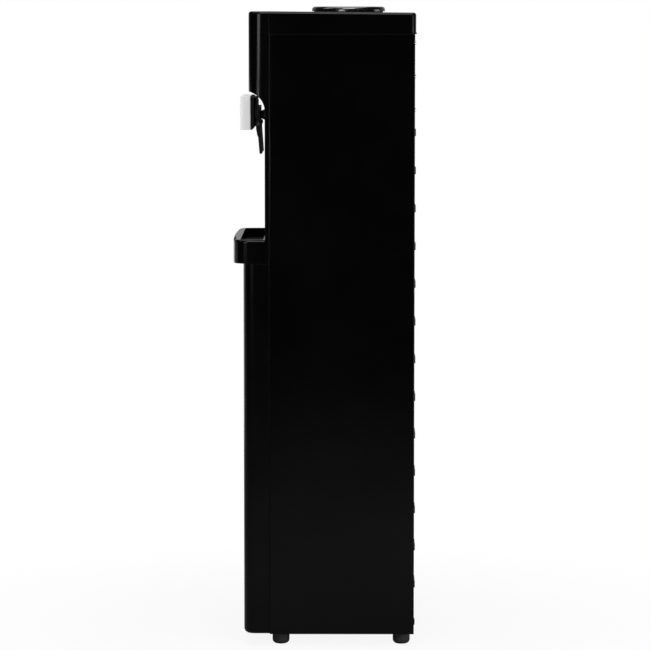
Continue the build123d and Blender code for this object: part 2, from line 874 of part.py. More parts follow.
# Rocker switches, shown tilted to their off position
def rocker_switch(name, x):
    tilt = math.radians(rocker_tilt)
    lean = (0, math.cos(tilt), math.sin(tilt))
    with BuildPart() as rocker:
        with BuildSketch(Plane(origin=(x, rocker_pivot_y, bezel_z), x_dir=lean, z_dir=(1, 0, 0))):
            with BuildLine():
                Polyline(
                    (-rocker_depth, -rocker_root / 2),
                    (rocker_rise, -rocker_height / 2),
                    (rocker_rise - rocker_dish, 0),
                    (rocker_rise, rocker_height / 2),
                    (-rocker_depth, rocker_root / 2),
                    close=True,
                )
            make_face()
        extrude(amount=rocker_width / 2, both=True)
        with BuildSketch(Plane.YZ.offset(x)):
            with Locations((rocker_pivot_y, bezel_z)):
                Circle(rocker_axle_radius)
        extrude(amount=axle_half, both=True)
    save(rocker, f"{name}_switch")


for rocker_name, rocker_x in rocker_xs.items():
    rocker_switch(rocker_name, rocker_x)


# Turned pieces on an axis along Y, given as radius and Y
def turned(x, z, points):
    with BuildPart() as piece:
        with BuildSketch(Plane(origin=(x, 0, z), x_dir=(1, 0, 0), z_dir=(0, 0, 1))):
            with BuildLine():
                Polyline(*points, close=True)
            make_face()
        revolve(axis=Axis((x, 0, z), (0, 1, 0)))
    return piece.part


# Cord gland and drain outlet, each clamped on the apron by a flange
apron_rear = apron_y + base_sheet
with BuildPart() as gland:
    gland_end = apron_rear + gland_flange
    gland_start = apron_y - gland_tail
    add(turned(gland_x, outlet_z, [
        (gland_bore, gland_start),
        (gland_radius, gland_start),
        (gland_radius, apron_rear),
        (gland_flange_radius, apron_rear),
        (gland_flange_radius, gland_end),
        (gland_bore, gland_end),
    ]))
save(gland, "cord_gland")

outlet_start = apron_y - outlet_tail
with BuildPart() as outlet:
    flange_end = apron_rear + outlet_flange
    add(turned(outlet_x, outlet_z, [
        (outlet_bore, outlet_start),
        (outlet_radius, outlet_start),
        (outlet_radius, apron_rear),
        (outlet_flange_radius, apron_rear),
        (outlet_flange_radius, flange_end),
        (outlet_radius, flange_end),
        (outlet_radius, outlet_end),
        (outlet_bore, outlet_end),
    ]))
save(outlet, "drain_outlet")

# Drain cap: a fluted cup over the outlet
with BuildPart() as cap:
    cap_inside = outlet_end + fit_gap
    cap_end = cap_inside + cap_wall
    cap_mouth = outlet_radius + fit_gap
    add(turned(outlet_x, outlet_z, [
        (0, cap_inside),
        (cap_mouth, cap_inside),
        (cap_mouth, cap_end - cap_length),
        (cap_radius, cap_end - cap_length),
        (cap_radius, cap_end),
        (0, cap_end),
    ]))
    with BuildSketch(Plane.XZ.offset(-cap_end)):
        with Locations((outlet_x, outlet_z)):
            with PolarLocations(cap_radius, cap_flutes):
                Circle(cap_flute_radius)
    extrude(amount=cap_length, mode=Mode.SUBTRACT)
save(cap, "drain_cap")

# Screws of the rear panel, low round heads on the flanges
with BuildPart() as screws:
    with BuildSketch(Plane.XZ.offset(-rear_y)):
        with Locations((0, (rear_panel_low + panel_top) / 2)):
            with GridLocations(2 * (half - screw_inset), screw_pitch, 2, screw_rows):
                Circle(screw_radius)
    extrude(amount=-screw_head)
    fillet(screws.edges().group_by(Axis.Y)[-1], radius=screw_head / 2)
save(screws, "panel_screws")


# Bent tubes: straight runs joined by arcs
def bent_tube(name, points, radius, bends):
    with BuildPart() as tube:
        with BuildLine() as route:
            FilletPolyline(*points, radius=bends)
        with BuildSketch(Plane(route.line @ 0, z_dir=route.line % 0)):
            Circle(radius)
        sweep()
    save(tube, name)


# Condenser: one tube winding up the open back, upright wires before it and clamps on the flanges
bend_x = half - bend_inset
condenser_end_x = half - condenser_end_inset
pass_zs = [first_pass_z + i * pass_pitch for i in range(pass_count)]
last_pass_z = pass_zs[-1]
tube_y = rear_y - fit_gap - condenser_radius
serpentine = [(-condenser_end_x, condenser_end_y, first_pass_z), (-condenser_end_x, tube_y, first_pass_z)]
turn_side = 1
for low_z, high_z in zip(pass_zs, pass_zs[1:]):
    serpentine.append((turn_side * bend_x, tube_y, low_z))
    serpentine.append((turn_side * bend_x, tube_y, high_z))
    turn_side = -turn_side
serpentine.append((turn_side * condenser_end_x, tube_y, last_pass_z))
serpentine.append((turn_side * condenser_end_x, condenser_end_y, last_pass_z))
serpentine_bends = [condenser_end_bend] + [condenser_bend] * (2 * pass_count - 2) + [condenser_end_bend]
bent_tube("condenser_tube", serpentine, condenser_radius, serpentine_bends)

with BuildPart() as wires:
    wire_y = tube_y - condenser_radius - wire_radius - weld_gap
    wire_pitch = 2 * (half - wire_inset) / (wire_count - 1)
    with BuildSketch(Plane.XY.offset(first_pass_z - wire_overhang)):
        with Locations((0, wire_y)):
            with GridLocations(wire_pitch, 1, wire_count, 1):
                Circle(wire_radius)
    extrude(amount=last_pass_z - first_pass_z + 2 * wire_overhang)
save(wires, "condenser_wires")

with BuildPart() as clamps:
    with BuildSketch(Plane.XZ.offset(-rear_y)):
        with Locations((0, (first_pass_z + last_pass_z) / 2)):
            with GridLocations(2 * (half - clamp_inset) - clamp_width, pass_pitch, 2, pass_count):
                Rectangle(clamp_width, clamp_height)
    extrude(amount=-clamp_thick)
save(clamps, "condenser_clamps")

# Cold tank, evaporator, insulation and lid, all round the collar's axis
shelf_top = upper_shelf_z + shelf_sheet
cold_bottom = shelf_top + insulation_floor
cold_rim = cold_bottom + cold_tank_height
evaporator_inner = cold_tank_radius + fit_gap
evaporator_outer = evaporator_inner + evaporator_thick
evaporator_bottom = cold_bottom + evaporator_low
insulation_bore = evaporator_outer + fit_gap
pipe_ring = (evaporator_inner + evaporator_outer) / 2
suction_x = -pipe_ring
capillary_x = -pipe_ring * math.cos(math.radians(capillary_angle))
capillary_y = collar_y - pipe_ring * math.sin(math.radians(capillary_angle))
cold_ports = [(tap_xs["cold"], port_y), (0, feed_y)]
port_end = upper_shelf_z - port_drop


# An upright ring round the collar's axis
def ring(low, height, outer, inner):
    with BuildPart() as piece:
        with BuildSketch(Plane.XY.offset(low)):
            with Locations((0, collar_y)):
                Circle(outer)
                Circle(inner, mode=Mode.SUBTRACT)
        extrude(amount=height)
    return piece.part


with BuildPart() as cold_tank:
    add(ring(cold_bottom, cold_tank_height, cold_tank_radius, cold_tank_radius - tank_wall))
    with BuildSketch(Plane.XY.offset(cold_bottom)):
        with Locations((0, collar_y)):
            Circle(cold_tank_radius)
    extrude(amount=tank_wall)
    with BuildSketch(Plane.XY.offset(port_end)):
        with Locations(*cold_ports):
            Circle(port_radius)
    extrude(amount=cold_bottom - port_end)
    with BuildSketch(Plane.XY.offset(port_end)):
        with Locations(*cold_ports):
            Circle(port_bore)
    extrude(amount=cold_bottom + tank_wall - port_end, mode=Mode.SUBTRACT)
save(cold_tank, "cold_tank")

with BuildPart() as evaporator:
    add(ring(evaporator_bottom, evaporator_height, evaporator_outer, evaporator_inner))
save(evaporator, "evaporator")

with BuildPart() as insulation:
    with BuildSketch(Plane.XY.offset(shelf_top)):
        with Locations((0, collar_y)):
            Circle(insulation_bore + insulation_wall)
        with Locations(*cold_ports):
            Circle(port_radius + fit_gap, mode=Mode.SUBTRACT)
        with Locations((suction_x, collar_y)):
            Circle(suction_radius + fit_gap, mode=Mode.SUBTRACT)
        with Locations((capillary_x, capillary_y)):
            Circle(capillary_radius + fit_gap, mode=Mode.SUBTRACT)
    extrude(amount=insulation_floor)
    add(ring(cold_bottom, cold_tank_height, insulation_bore + insulation_wall, insulation_bore))
save(insulation, "tank_insulation")

with BuildPart() as lid:
    lid_radius = insulation_bore + tank_lid_overhang
    add(ring(cold_rim, tank_lid, lid_radius, throat_outer + tank_lid_gap))
save(lid, "cold_tank_lid")

# Hot tank with its outlet, inlet and drain stubs
hot_outlet = (tap_xs["hot"], port_y)
feed_inlet_z = hot_bottom + feed_inlet_rise
feed_inlet_y = collar_y + hot_tank_radius + feed_stub
drain_port_end = lower_shelf_z - port_drop
with BuildPart() as hot_tank:
    with BuildSketch(Plane.XY.offset(hot_bottom)):
        with Locations((0, collar_y)):
            Circle(hot_tank_radius)
    extrude(amount=hot_tank_height)
    fillet(hot_tank.edges().group_by(Axis.Z)[-1], radius=hot_tank_round)
    with BuildSketch(Plane.XY.offset(hot_top - hot_tank_round)):
        with Locations(hot_outlet):
            Circle(port_radius)
    extrude(amount=hot_tank_round + port_rise)
    with BuildSketch(Plane.XY.offset(drain_port_end)):
        with Locations((outlet_x, drain_y)):
            Circle(port_radius)
    extrude(amount=hot_bottom - drain_port_end)
    with BuildSketch(Plane.XZ.offset(-feed_inlet_y)):
        with Locations((0, feed_inlet_z)):
            Circle(port_radius)
    extrude(amount=hot_tank_radius)
    with BuildSketch(Plane.XY.offset(hot_bottom + tank_wall)):
        with Locations((0, collar_y)):
            Circle(hot_tank_radius - tank_wall)
    extrude(amount=hot_tank_height - hot_tank_round - 2 * tank_wall, mode=Mode.SUBTRACT)
    with BuildSketch(Plane.XY.offset(hot_bottom + hot_tank_round)):
        with Locations(hot_outlet):
            Circle(port_bore)
    extrude(amount=hot_tank_height + port_rise - hot_tank_round, mode=Mode.SUBTRACT)
    with BuildSketch(Plane.XY.offset(drain_port_end)):
        with Locations((outlet_x, drain_y)):
            Circle(port_bore)
    extrude(amount=hot_bottom + tank_wall - drain_port_end, mode=Mode.SUBTRACT)
    with BuildSketch(Plane.XZ.offset(-feed_inlet_y)):
        with Locations((0, feed_inlet_z)):
            Circle(port_bore)
    extrude(amount=hot_tank_radius, mode=Mode.SUBTRACT)
save(hot_tank, "hot_tank")

with BuildPart() as band:
    band_inner = hot_tank_radius + fit_gap
    band_outer = band_inner + band_thick
    band_bottom = hot_bottom + band_low
    add(ring(band_bottom, band_height, band_outer, band_inner))
    lug_start = (band_inner + band_outer) / 2
    with BuildSketch(Plane.XY.offset(band_bottom + (band_height - band_lug_height) / 2)):
        with Locations((lug_start + band_lug / 2, collar_y)):
            Rectangle(band_lug, band_lug_width)
    extrude(amount=band_lug_height)
save(band, "heater_band")

with BuildPart() as thermostats:
    tank_axis = Vector(0, collar_y, hot_top - thermostat_drop)
    for reach in ((1, 0, 0), (0, -1, 0)):
        face_centre = tank_axis + Vector(*reach) * (hot_tank_radius + fit_gap)
        with BuildSketch(Plane(face_centre, z_dir=reach)):
            Circle(thermostat_radius)
        extrude(amount=thermostat_thick)
save(thermostats, "thermostats")


# Shelves between the side panels, with turned-down ends and holes for what passes through
def shelf(name, low, front, holes):
    with BuildPart() as plate:
        depth = shelf_rear_y - front
        with BuildSketch(Plane.XY.offset(low)):
            with Locations((0, (front + shelf_rear_y) / 2)):
                Rectangle(2 * inner_half, depth)
            for x, y, radius in holes:
                with Locations((x, y)):
                    Circle(radius + pass_gap, mode=Mode.SUBTRACT)
        extrude(amount=shelf_sheet)
        with BuildSketch(Plane.XY.offset(low - shelf_flange)):
            with Locations((0, (front + shelf_rear_y) / 2)):
                with GridLocations(2 * inner_half - shelf_sheet, 1, 2, 1):
                    Rectangle(shelf_sheet, depth)
        extrude(amount=shelf_flange)
    save(plate, name)


suction_hole = (suction_x, collar_y, suction_radius)
discharge_hole = (condenser_end_x, discharge_drop_y, discharge_radius)
upper_holes = [suction_hole, discharge_hole, (capillary_x, capillary_y, capillary_radius)]
upper_holes += [(x, y, port_radius) for x, y in cold_ports]
lower_holes = [suction_hole, discharge_hole, (-condenser_end_x, capillary_y, capillary_radius)]
lower_holes.append((outlet_x, drain_y, port_radius))
shelf("upper_shelf", upper_shelf_z, upper_shelf_front_y, upper_holes)
shelf("lower_shelf", lower_shelf_z, lower_shelf_front_y, lower_holes)

# Water hoses
bent_tube("cold_hose", [
    (tap_xs["cold"], stem_end, tap_z),
    (tap_xs["cold"], hose_drop_y, tap_z),
    (tap_xs["cold"], hose_drop_y, cold_hose_z),
    (tap_xs["cold"], port_y, cold_hose_z),
    (tap_xs["cold"], port_y, port_end),
], hose_radius, hose_bend)
bent_tube("hot_hose", [
    (tap_xs["hot"], stem_end, tap_z),
    (tap_xs["hot"], hose_drop_y, tap_z),
    (tap_xs["hot"], hose_drop_y, hot_hose_z),
    (tap_xs["hot"], port_y, hot_hose_z),
    (tap_xs["hot"], port_y, hot_top + port_rise),
], hose_radius, hose_bend)
bent_tube("feed_hose", [
    (0, feed_y, port_end),
    (0, feed_y, feed_hose_z),
    (0, feed_rear_y, feed_hose_z),
    (0, feed_rear_y, feed_inlet_z),
    (0, feed_inlet_y, feed_inlet_z),
], hose_radius, hose_bend)
bent_tube("drain_hose", [
    (outlet_x, drain_y, drain_port_end),
    (outlet_x, drain_y, drain_jog_high),
    (outlet_x, drain_low_y, drain_jog_low),
    (outlet_x, drain_low_y, outlet_z),
    (outlet_x, outlet_start, outlet_z),
], hose_radius, drain_bend)

# Compressor on rubber mounts, with its relay box
mount_top = base_top + mount_height
compressor_low = mount_top + foot_plate
compressor_port_x = compressor_radius + stub_reach
with BuildPart() as compressor:
    with BuildSketch(Plane.XY.offset(compressor_low)):
        with Locations((0, collar_y)):
            Circle(compressor_radius)
    extrude(amount=compressor_height)
    fillet(compressor.edges().group_by(Axis.Z)[-1], radius=compressor_round)
    fillet(compressor.edges().group_by(Axis.Z)[0], radius=compressor_base_round)
    with BuildSketch(Plane.XY.offset(compressor_low + compressor_height / 2)):
        with Locations((0, collar_y)):
            Circle(compressor_radius + compressor_bead)
    extrude(amount=compressor_bead_height)
    with BuildSketch(Plane.XY.offset(mount_top)):
        with Locations((0, collar_y)):
            RectangleRounded(foot_plate_size, foot_plate_size, foot_plate_round)
    extrude(amount=foot_plate)
    for side, port_z in ((-1, suction_port_z), (1, discharge_port_z)):
        with BuildSketch(Plane.YZ.offset(side * compressor_port_x)):
            with Locations((collar_y, port_z)):
                Circle(stub_radius)
        extrude(amount=-side * compressor_radius)
save(compressor, "compressor")

with BuildPart() as mounts:
    with BuildSketch(Plane.XY.offset(base_top)):
        with Locations((0, collar_y)):
            with GridLocations(2 * mount_spread, 2 * mount_spread, 2, 2):
                Circle(mount_radius)
    extrude(amount=mount_height)
save(mounts, "compressor_mounts")

with BuildPart() as relay:
    relay_back = collar_y - compressor_radius - compressor_bead - fit_gap
    with BuildSketch(Plane.XY.offset(compressor_low + relay_low)):
        with Locations((0, relay_back - relay_depth / 2)):
            RectangleRounded(relay_width, relay_depth, relay_round)
    extrude(amount=relay_height)
save(relay, "relay_box")

# Refrigerant pipes and filter drier
bent_tube("suction_pipe", [
    (suction_x, collar_y, evaporator_bottom),
    (suction_x, collar_y, suction_port_z),
    (-compressor_port_x, collar_y, suction_port_z),
], suction_radius, pipe_bend)
bent_tube("discharge_pipe", [
    (condenser_end_x, condenser_end_y, last_pass_z),
    (condenser_end_x, discharge_drop_y, last_pass_z),
    (condenser_end_x, discharge_drop_y, discharge_port_z),
    (condenser_end_x, collar_y, discharge_port_z),
    (compressor_port_x, collar_y, discharge_port_z),
], discharge_radius, pipe_bend)
drier_end = condenser_end_y - drier_length
bent_tube("capillary_tube", [
    (-condenser_end_x, drier_end, first_pass_z),
    (-condenser_end_x, capillary_y, first_pass_z),
    (-condenser_end_x, capillary_y, capillary_run_z),
    (capillary_x, capillary_y, capillary_run_z),
    (capillary_x, capillary_y, evaporator_bottom),
], capillary_radius, pipe_bend)
with BuildPart() as drier:
    add(turned(-condenser_end_x, first_pass_z, [
        (0, condenser_end_y),
        (condenser_radius, condenser_end_y),
        (drier_radius, condenser_end_y - drier_taper),
        (drier_radius, drier_end + drier_taper),
        (capillary_radius, drier_end),
        (0, drier_end),
    ]))
save(drier, "filter_drier")
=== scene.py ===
import json
import math

import bmesh
import bpy
from mathutils import Matrix, Vector


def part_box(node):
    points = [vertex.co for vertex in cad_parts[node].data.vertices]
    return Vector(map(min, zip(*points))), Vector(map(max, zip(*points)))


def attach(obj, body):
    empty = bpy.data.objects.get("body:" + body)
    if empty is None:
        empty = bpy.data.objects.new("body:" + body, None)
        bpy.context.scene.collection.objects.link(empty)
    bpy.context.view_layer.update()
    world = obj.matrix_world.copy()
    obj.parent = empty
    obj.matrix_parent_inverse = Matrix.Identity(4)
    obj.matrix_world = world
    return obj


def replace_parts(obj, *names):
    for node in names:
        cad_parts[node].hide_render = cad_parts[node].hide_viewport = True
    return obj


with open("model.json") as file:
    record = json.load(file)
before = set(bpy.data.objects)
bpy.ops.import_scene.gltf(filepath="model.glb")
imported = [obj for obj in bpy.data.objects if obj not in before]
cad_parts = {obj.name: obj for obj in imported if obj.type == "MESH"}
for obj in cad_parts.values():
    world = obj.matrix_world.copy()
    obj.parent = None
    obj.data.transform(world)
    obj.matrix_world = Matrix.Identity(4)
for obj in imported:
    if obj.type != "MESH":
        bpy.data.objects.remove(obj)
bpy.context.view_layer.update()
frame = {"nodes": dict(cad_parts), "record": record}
nodes = frame["nodes"]

MM = 0.001  # a millimetre in metres
UP, FORWARD, BACKWARD = (0.0, 0.0, 1.0), (0.0, -1.0, 0.0), (0.0, 1.0, 0.0)
WHITE = (1.0, 1.0, 1.0, 1.0)
NOISE_SPAN = (0.3, 0.7)  # holds most values of a noise texture
EDGE_SAMPLES = 4
EDGE_COSINES = (0.995, 0.8)  # between rounded and flat normal, from no wear to full wear
MIX_FACTOR, MIX_FIRST, MIX_SECOND, MIX_RESULT = 0, 6, 7, 2  # a Mix node's colour sockets


# Node graphs
class Graph:
    """Short ways to add and link the nodes of one tree."""

    def __init__(self, tree):
        self.tree = tree

    def link(self, source, target):
        """Links an output, or sets a plain value."""
        if isinstance(source, bpy.types.NodeSocket):
            self.tree.links.new(source, target)
        else:
            target.default_value = source

    def node(self, kind, **settings):
        node = self.tree.nodes.new(kind)
        for key, value in settings.items():
            setattr(node, key, value)
        return node

    def named(self, node, out, **inputs):
        """Fills a node's inputs by name and gives one output."""
        for key, value in inputs.items():
            self.link(value, node.inputs[key.replace("_", " ")])
        return node.outputs[out]

    def in_order(self, node, out, *inputs):
        """Fills a node's inputs from the first on and gives one output."""
        for value, target in zip(inputs, node.inputs):
            self.link(value, target)
        return node.outputs[out]

    def put(self, kind, out, **inputs):
        return self.named(self.node(kind), out, **inputs)

    def math(self, operation, a, b, clamp=False):
        node = self.node("ShaderNodeMath", operation=operation, use_clamp=clamp)
        return self.in_order(node, 0, a, b)

    def measure(self, operation, *vectors):
        node = self.node("ShaderNodeVectorMath", operation=operation)
        return self.in_order(node, "Value", *vectors)

    def span(self, value, source, target=(0.0, 1.0), shape="LINEAR"):
        """Maps the source range of a value to the target range, and stops at its ends."""
        node = self.node("ShaderNodeMapRange", interpolation_type=shape)
        return self.named(node, "Result", Value=value, From_Min=source[0], From_Max=source[1],
                          To_Min=target[0], To_Max=target[1])

    def seen_by(self, *rays):
        """1 for the named kinds of ray, 0 for the others."""
        path = self.node("ShaderNodeLightPath")
        total = path.outputs[rays[0]]
        for ray in rays[1:]:
            total = self.math("MAXIMUM", total, path.outputs[ray])
        return total

    def surface(self, output, amount, first, second):
        """Ends the tree with a mix of two shaders."""
        mixed = self.in_order(self.node("ShaderNodeMixShader"), 0, amount, first, second)
        self.link(mixed, self.node(output).inputs["Surface"])


class Finish(Graph):
    """A Principled material whose textures run in the shared frame, in metres."""

    def __init__(self, name, edge):
        self.material = bpy.data.materials.new(name)
        self.material.use_nodes = True
        super().__init__(self.material.node_tree)
        self.shader = self.tree.nodes["Principled BSDF"]
        self.place = self.put("ShaderNodeTexCoord", "Object")
        bevel = self.node("ShaderNodeBevel", samples=EDGE_SAMPLES)
        self.rounded = self.named(bevel, "Normal", Radius=edge)
        self.normal = self.rounded

    def worn(self):
        """0 on faces, rising towards 1 where an edge is rounded by use."""
        flat = self.put("ShaderNodeNewGeometry", "Normal")
        return self.span(self.measure("DOT_PRODUCT", self.rounded, flat), EDGE_COSINES)

    def stretched(self, scale):
        return self.put("ShaderNodeMapping", "Vector", Vector=self.place, Scale=scale)

    def noise(self, scale, detail=3.0, roughness=0.55, where=None):
        return self.put("ShaderNodeTexNoise", 0, Vector=where or self.place, Scale=scale,
                        Detail=detail, Roughness=roughness)

    def cells(self, scale):
        return self.put("ShaderNodeTexVoronoi", "Distance", Vector=self.place, Scale=scale)

    def flakes(self, scale):
        """One random grey per cell."""
        colour = self.put("ShaderNodeTexVoronoi", "Color", Vector=self.place, Scale=scale)
        return self.put("ShaderNodeRGBToBW", 0, Color=colour)

    def blend(self, amount, first, second):
        node = self.node("ShaderNodeMix", data_type="RGBA")
        self.link(amount, node.inputs[MIX_FACTOR])
        for value, place in ((first, MIX_FIRST), (second, MIX_SECOND)):
            plain = not isinstance(value, bpy.types.NodeSocket)
            self.link((*value, 1.0) if plain else value, node.inputs[place])
        return node.outputs[MIX_RESULT]

    def bump(self, height, distance, strength=1.0):
        self.normal = self.put("ShaderNodeBump", "Normal", Strength=strength, Distance=distance,
                               Height=height, Normal=self.normal)

    def done(self, **inputs):
        for key, value in inputs.items():
            self.link(value, self.shader.inputs[key.replace("_", " ")])
        self.link(self.normal, self.shader.inputs["Normal"])
        return self.material


# Materials. Colours of coats and mouldings are dark, light and rubbed.
def coated_steel(name, colours, roughness, specular, peel=0.00002, edge=0.0004):
    """Clouded, dusty paint with orange peel, rubbed at its edges."""
    dark, light, rubbed = colours
    f = Finish(name, edge)
    rub = f.span(f.noise(scale=55.0), (0.4, 0.75))
    cloud = f.span(f.noise(scale=9.0, detail=5.0), NOISE_SPAN)
    dust = f.span(f.noise(scale=700.0, detail=1.0), (0.62, 0.8), (0.0, 0.35))
    colour = f.blend(f.math("MAXIMUM", cloud, dust), dark, light)
    colour = f.blend(f.math("MULTIPLY", f.worn(), rub, clamp=True), colour, rubbed)
    broad = f.span(f.noise(scale=4.0, detail=4.0), NOISE_SPAN,
                   (0.88 * roughness, 1.12 * roughness))
    fine = f.span(f.noise(scale=260.0, detail=2.0), NOISE_SPAN,
                  (-0.06 * roughness, 0.06 * roughness))
    f.bump(f.noise(scale=950.0, detail=2.0), distance=peel)
    return f.done(Base_Color=colour, Roughness=f.math("ADD", broad, fine),
                  Specular_IOR_Level=specular)


def moulding(name, colours, roughness, specular, grain=1500.0):
    """Grained, slightly wavy plastic with upright smears, rubbed at its edges."""
    dark, light, rubbed = colours
    f = Finish(name, edge=0.0007)
    rub = f.span(f.noise(scale=80.0), (0.35, 0.7))
    cloud = f.span(f.noise(scale=14.0, detail=4.0), NOISE_SPAN)
    colour = f.blend(cloud, dark, light)
    colour = f.blend(f.math("MULTIPLY", f.worn(), rub, clamp=True), colour, rubbed)
    smear = f.noise(scale=22.0, detail=5.0, where=f.stretched((1.0, 1.0, 0.25)))
    pores = f.cells(scale=grain)
    broad = f.span(smear, (0.3, 0.72), (0.85 * roughness, 1.15 * roughness))
    fine = f.span(pores, (0.0, 0.7), (-0.1 * roughness, 0.15 * roughness))
    f.bump(pores, distance=0.00002)
    f.bump(f.noise(scale=30.0, detail=1.0), distance=0.00004)
    return f.done(Base_Color=colour, Roughness=f.math("ADD", broad, fine),
                  Specular_IOR_Level=specular)


def silver_paint():
    dark, light, rubbed = (0.85, 0.855, 0.86), (0.91, 0.915, 0.92), (0.9, 0.91, 0.93)
    f = Finish("silver_paint", edge=0.0007)
    colour = f.blend(f.span(f.flakes(scale=2600.0), (0.2, 0.9)), dark, light)
    colour = f.blend(f.math("MULTIPLY", f.worn(), 0.5), colour, rubbed)
    roughness = f.span(f.noise(scale=90.0), NOISE_SPAN, (0.30, 0.42))
    f.bump(f.noise(scale=1400.0, detail=2.0), distance=0.00002)
    return f.done(Base_Color=colour, Roughness=roughness, Specular_IOR_Level=0.5)


def zinc_plate():
    dark, light, rubbed = (0.40, 0.41, 0.43), (0.62, 0.63, 0.66), (0.78, 0.79, 0.8)
    stained = (0.30, 0.29, 0.27)
    f = Finish("zinc_plate", edge=0.0006)
    spangle = f.flakes(scale=110.0)
    stain = f.span(f.noise(scale=14.0, detail=6.0), (0.55, 0.75))
    colour = f.blend(f.span(spangle, (0.1, 0.9)), dark, light)
    colour = f.blend(f.math("MULTIPLY", stain, 0.45), colour, stained)
    colour = f.blend(f.worn(), colour, rubbed)
    roughness = f.math("ADD", f.span(spangle, (0.0, 1.0), (0.30, 0.48)),
                       f.span(stain, (0.0, 1.0), (0.0, 0.15)))
    f.bump(spangle, distance=0.00003, strength=0.5)
    return f.done(Base_Color=colour, Roughness=roughness, Metallic=1.0)


def brushed_steel():
    dark, light, rubbed = (0.48, 0.48, 0.49), (0.68, 0.68, 0.69), (0.8, 0.8, 0.82)
    tinted = (0.55, 0.47, 0.36)
    f = Finish("brushed_stainless", edge=0.0006)
    lines = f.noise(scale=60.0, detail=6.0, roughness=0.7, where=f.stretched((1.0, 1.0, 28.0)))
    heat = f.span(f.noise(scale=11.0), (0.5, 0.8))
    colour = f.blend(f.span(lines, NOISE_SPAN), dark, light)
    colour = f.blend(f.math("MULTIPLY", heat, 0.3), colour, tinted)
    colour = f.blend(f.worn(), colour, rubbed)
    roughness = f.span(lines, NOISE_SPAN, (0.24, 0.38))
    f.bump(lines, distance=0.00003)
    return f.done(Base_Color=colour, Roughness=roughness, Metallic=1.0)


def dull_copper():
    bright, dull, rubbed = (0.62, 0.27, 0.13), (0.36, 0.14, 0.075), (0.8, 0.42, 0.24)
    tarnished = (0.16, 0.25, 0.19)
    f = Finish("dull_copper", edge=0.0004)
    patch = f.noise(scale=42.0, detail=6.0)
    tarnish = f.span(f.noise(scale=75.0, detail=5.0), (0.66, 0.8), (0.0, 0.5))
    colour = f.blend(f.span(patch, (0.35, 0.65)), bright, dull)
    colour = f.blend(tarnish, colour, tarnished)
    colour = f.blend(f.worn(), colour, rubbed)
    roughness = f.span(patch, NOISE_SPAN, (0.26, 0.5))
    f.bump(patch, distance=0.00006)
    return f.done(Base_Color=colour, Roughness=roughness, Metallic=1.0)


def bead_foam():
    dark, light, yellowed = (0.66, 0.66, 0.64), (0.84, 0.84, 0.82), (0.72, 0.68, 0.55)
    bead_span = (0.0, 0.6)
    f = Finish("bead_foam", edge=0.001)
    bead = f.cells(scale=230.0)
    # Bead middles are light and the gaps between beads are dark: painted shade in the gaps. The
    # same value is the beads' bump height.
    shade = f.span(bead, bead_span, (1.0, 0.0))
    age = f.span(f.noise(scale=8.0, detail=4.0), (0.45, 0.8), (0.0, 0.5))
    colour = f.blend(age, f.blend(shade, dark, light), yellowed)
    roughness = f.span(bead, bead_span, (0.75, 0.95))
    f.bump(shade, distance=0.0005)
    return f.done(Base_Color=colour, Roughness=roughness, Specular_IOR_Level=0.3)


def silicone():
    dark, light = (0.66, 0.68, 0.68), (0.8, 0.81, 0.8)
    f = Finish("silicone_hose", edge=0.0005)
    cloud = f.noise(scale=60.0, detail=4.0)
    colour = f.blend(f.span(cloud, NOISE_SPAN), dark, light)
    roughness = f.span(cloud, NOISE_SPAN, (0.34, 0.5))
    f.bump(f.noise(scale=500.0, detail=2.0), distance=0.00004)
    return f.done(Base_Color=colour, Roughness=roughness, Subsurface_Weight=0.25,
                  Subsurface_Scale=0.003)


def rubber():
    dark, light = (0.006, 0.006, 0.006), (0.014, 0.014, 0.0135)
    rubbed = (0.03, 0.03, 0.029)
    f = Finish("foot_rubber", edge=0.0008)
    rub = f.span(f.noise(scale=120.0), (0.3, 0.6))
    speck = f.noise(scale=900.0)
    colour = f.blend(f.span(speck, (0.35, 0.7)), dark, light)
    colour = f.blend(f.math("MULTIPLY", f.worn(), rub, clamp=True), colour, rubbed)
    roughness = f.span(speck, NOISE_SPAN, (0.62, 0.82))
    f.bump(speck, distance=0.0001)
    return f.done(Base_Color=colour, Roughness=roughness, Specular_IOR_Level=0.3)


def white_plastic():
    dark, light, rubbed = (0.70, 0.71, 0.71), (0.8, 0.8, 0.79), (0.86, 0.86, 0.86)
    f = Finish("white_plastic", edge=0.0006)
    cloud = f.noise(scale=35.0, detail=4.0)
    colour = f.blend(f.span(cloud, NOISE_SPAN), dark, light)
    colour = f.blend(f.math("MULTIPLY", f.worn(), 0.4), colour, rubbed)
    roughness = f.span(cloud, NOISE_SPAN, (0.32, 0.46))
    f.bump(f.cells(scale=1300.0), distance=0.00003)
    return f.done(Base_Color=colour, Roughness=roughness, Subsurface_Weight=0.1,
                  Subsurface_Scale=0.002)


def lens_milk():
    """Amber, red and green from -X to +X, parted half a lens pitch from the middle."""
    half_pitch = 0.007
    amber, red, green = (0.5, 0.24, 0.03), (0.42, 0.05, 0.03), (0.06, 0.30, 0.10)
    milky = (0.6, 0.58, 0.55)
    f = Finish("lens_milk", edge=0.0003)
    across = f.put("ShaderNodeSeparateXYZ", "X", Vector=f.place)
    cloud = f.noise(scale=500.0, detail=2.0)
    colour = f.blend(f.math("LESS_THAN", across, -half_pitch), red, amber)
    colour = f.blend(f.math("GREATER_THAN", across, half_pitch), colour, green)
    colour = f.blend(f.span(cloud, NOISE_SPAN, (0.0, 0.25)), colour, milky)
    roughness = f.span(cloud, NOISE_SPAN, (0.08, 0.2))
    f.bump(cloud, distance=0.00003)
    return f.done(Base_Color=colour, Roughness=roughness, Subsurface_Weight=0.2,
                  Subsurface_Scale=0.002)


